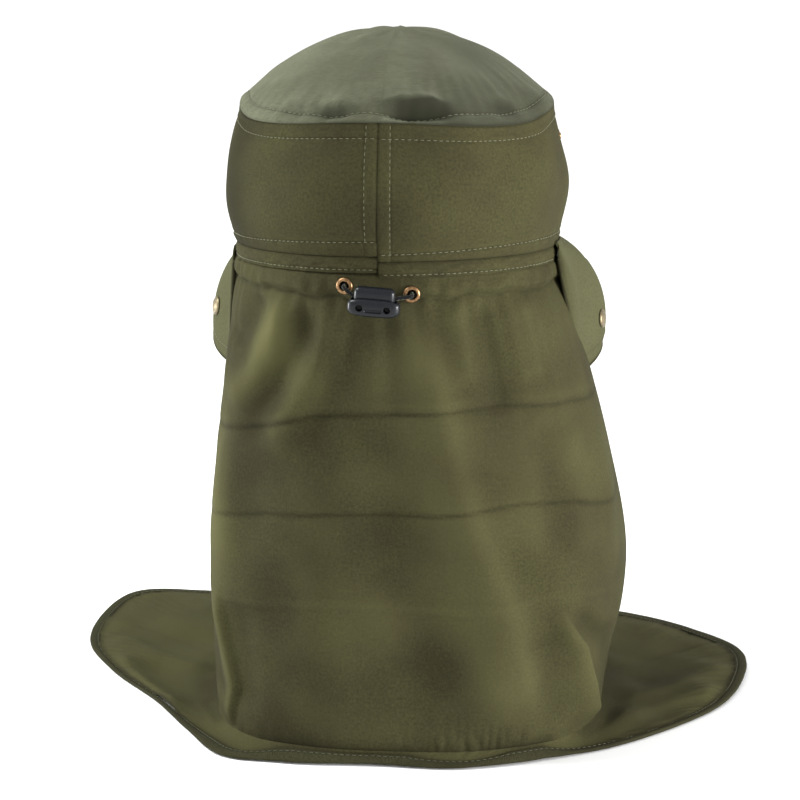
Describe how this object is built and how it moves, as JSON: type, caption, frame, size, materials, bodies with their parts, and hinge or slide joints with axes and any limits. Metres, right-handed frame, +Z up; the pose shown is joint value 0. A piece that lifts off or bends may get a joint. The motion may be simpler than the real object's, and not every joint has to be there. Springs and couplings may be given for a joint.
{
  "type": "beekeeping veil",
  "caption": "Cloth sun hat with a domed crown, snap-up brim sides, a long neck flap, a front face mesh and a bound shoulder cape; a drawcord with a cord lock tightens it at the back.",
  "frame": {"origin": "middle of the cape's outline, on the surface it lies on", "axes": "+Z up, the wearer faces -Y, so the neck flap hangs on the +Y side; +X is the wearer's left"},
  "size_m": [0.4114, 0.3349, 0.4007],
  "materials": {
    "olive_cloth": "matte woven",
    "crown_cloth": "matte woven",
    "lining_cloth": "matte woven",
    "binding_tape": "matte twill",
    "net": "fine open mesh",
    "elastic_cord": "braided",
    "lock_plastic": "satin moulded",
    "antique_brass": "worn, darkened",
    "spring_steel": "bright wire"
  },
  "bodies": {
    "hat": {"crown_top": "crown_cloth", "crown_side_left": "olive_cloth", "crown_side_right": "olive_cloth", "hem_band_left": "olive_cloth", "hem_band_right": "olive_cloth", "sweatband": "lining_cloth", "brim_front": "crown_cloth", "crown_snap_stud_left": "antique_brass", "crown_snap_stud_right": "antique_brass", "crown_snap_plate_left": "antique_brass", "crown_snap_plate_right": "antique_brass", "neck_flap": "olive_cloth", "face_mesh": "net", "chest_panel": "olive_cloth", "mesh_tape_left": "binding_tape", "mesh_tape_right": "binding_tape", "mesh_tape_lower": "binding_tape", "cape_binding": "binding_tape", "drawcord_channel": "lining_cloth", "drawcord_left": "elastic_cord", "drawcord_right": "elastic_cord", "eyelet_left": "antique_brass", "eyelet_right": "antique_brass", "eyelet_washer_left": "antique_brass", "eyelet_washer_right": "antique_brass"},
    "left_wing": {"brim_wing_left": "crown_cloth", "brim_snap_cap_left": "antique_brass", "brim_snap_socket_left": "antique_brass"},
    "right_wing": {"brim_wing_right": "crown_cloth", "brim_snap_cap_right": "antique_brass", "brim_snap_socket_right": "antique_brass"},
    "cord_lock": {"cord_lock_body": "lock_plastic", "cord_lock_spring": "spring_steel"},
    "cord_lock_button": {"cord_lock_plunger": "lock_plastic"}
  },
  "joints": [
    {"name": "brim_fold_left", "type": "hinge", "parent": "hat", "child": "left_wing", "pos_m": [0.094, 0.0463, 0.275], "axis": [0, -1, 0], "range_deg": [0, 130]},
    {"name": "brim_fold_right", "type": "hinge", "parent": "hat", "child": "right_wing", "pos_m": [-0.094, 0.0463, 0.281], "axis": [0, 1, 0], "range_deg": [0, 130]},
    {"name": "cord_lock_pull", "type": "slide", "parent": "hat", "child": "cord_lock", "axis": [0, 1, 0], "range_m": [0, 0.02], "stiffness_N_per_m": 150},
    {"name": "cord_lock_press", "type": "slide", "parent": "cord_lock", "child": "cord_lock_button", "axis": [0.0698, 0, -0.9976], "range_m": [0, 0.0022], "stiffness_N_per_m": 500, "deforming": ["cord_lock_spring"]}
  ]
}
